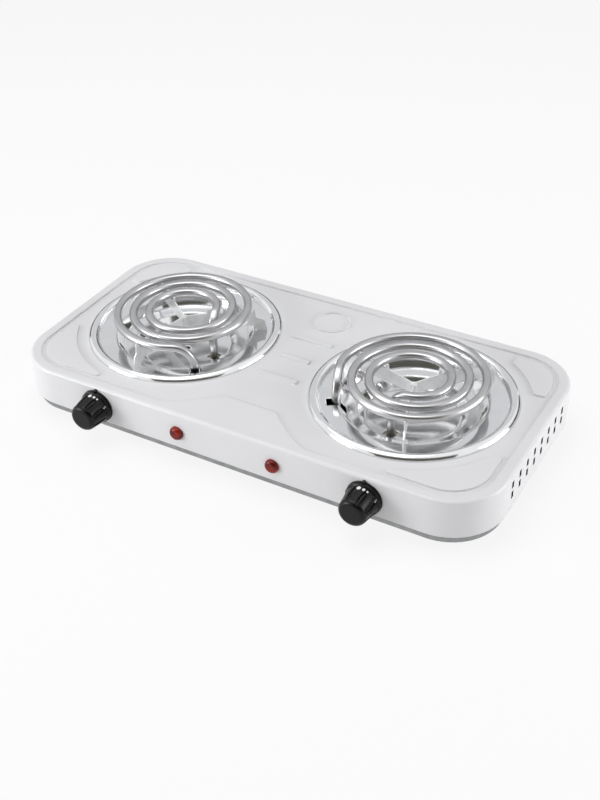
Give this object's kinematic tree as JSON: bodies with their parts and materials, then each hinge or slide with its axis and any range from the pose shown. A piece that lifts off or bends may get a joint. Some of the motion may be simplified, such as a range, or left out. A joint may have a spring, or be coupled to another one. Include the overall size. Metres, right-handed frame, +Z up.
{
  "type": "electric hot plate",
  "caption": "Table-top electric hot plate with a white pressed steel body, twin spiral coil burners over chromed drip pans, front control knobs and red pilot lamps.",
  "frame": {"origin": "middle of the bounding box, on the surface that the feet stand on", "axes": "+X along the body's length to the right as seen from the front, +Y from the knobs to the back, +Z up"},
  "size_m": [0.46, 0.2542, 0.0737],
  "materials": {
    "white_enamel": "white gloss stoved enamel",
    "zinc_sheet": "bare zinc-coated sheet",
    "rubber": "matt moulded rubber",
    "chrome": "bright chrome plate",
    "coil_sheath": "satin metal sheath",
    "plated_steel": "bright zinc plate",
    "ceramic": "fired ceramic, unglazed",
    "brass": "plain brass",
    "fasteners": "zinc-plated fasteners",
    "moulded_case": "heat-proof moulding",
    "bezel_plastic": "black moulding",
    "knob_plastic": "black satin moulding",
    "red_lens": "translucent red lens",
    "lamp_glass": "clear neon lamp",
    "gland_plastic": "black moulding",
    "wire_sleeve": "woven glass sleeve"
  },
  "bodies": {
    "frame": {"base_plate": "zinc_sheet", "base_screws": "fasteners", "ceramic_bushes_left": "ceramic", "ceramic_bushes_right": "ceramic", "coil_support_left": "plated_steel", "coil_support_right": "plated_steel", "cord_gland": "gland_plastic", "drip_pan_left": "chrome", "drip_pan_right": "chrome", "earth_stud": "brass", "foot_screws": "fasteners", "heating_coil_left": "coil_sheath", "heating_coil_right": "coil_sheath", "knob_bezel_left": "bezel_plastic", "knob_bezel_right": "bezel_plastic", "lamp_clip_left": "fasteners", "lamp_clip_right": "fasteners", "lamp_lens_left": "red_lens", "lamp_lens_right": "red_lens", "live_wire_left": "wire_sleeve", "live_wire_right": "wire_sleeve", "neon_lamp_left": "lamp_glass", "neon_lamp_right": "lamp_glass", "neutral_wire_left": "wire_sleeve", "neutral_wire_right": "wire_sleeve", "rubber_foot_back_left": "rubber", "rubber_foot_back_right": "rubber", "rubber_foot_front_left": "rubber", "rubber_foot_front_right": "rubber", "shell_posts": "plated_steel", "terminal_block": "moulded_case", "terminal_pins_left": "brass", "terminal_pins_right": "brass", "terminal_screws": "fasteners", "thermostat_blades_left": "brass", "thermostat_blades_right": "brass", "thermostat_left": "moulded_case", "thermostat_right": "moulded_case", "thermostat_screws_left": "fasteners", "thermostat_screws_right": "fasteners", "top_shell": "white_enamel"},
    "knob_left": {"knob_left": "knob_plastic", "control_shaft_left": "plated_steel"},
    "knob_right": {"knob_right": "knob_plastic", "control_shaft_right": "plated_steel"}
  },
  "joints": [
    {"name": "left_knob_turn", "type": "hinge", "parent": "frame", "child": "knob_left", "pos_m": [-0.131, -0.1031, 0.0313], "axis": [0, 1, 0], "range_deg": [0, 270]},
    {"name": "right_knob_turn", "type": "hinge", "parent": "frame", "child": "knob_right", "pos_m": [0.131, -0.1031, 0.0313], "axis": [0, 1, 0], "range_deg": [0, 270]}
  ]
}
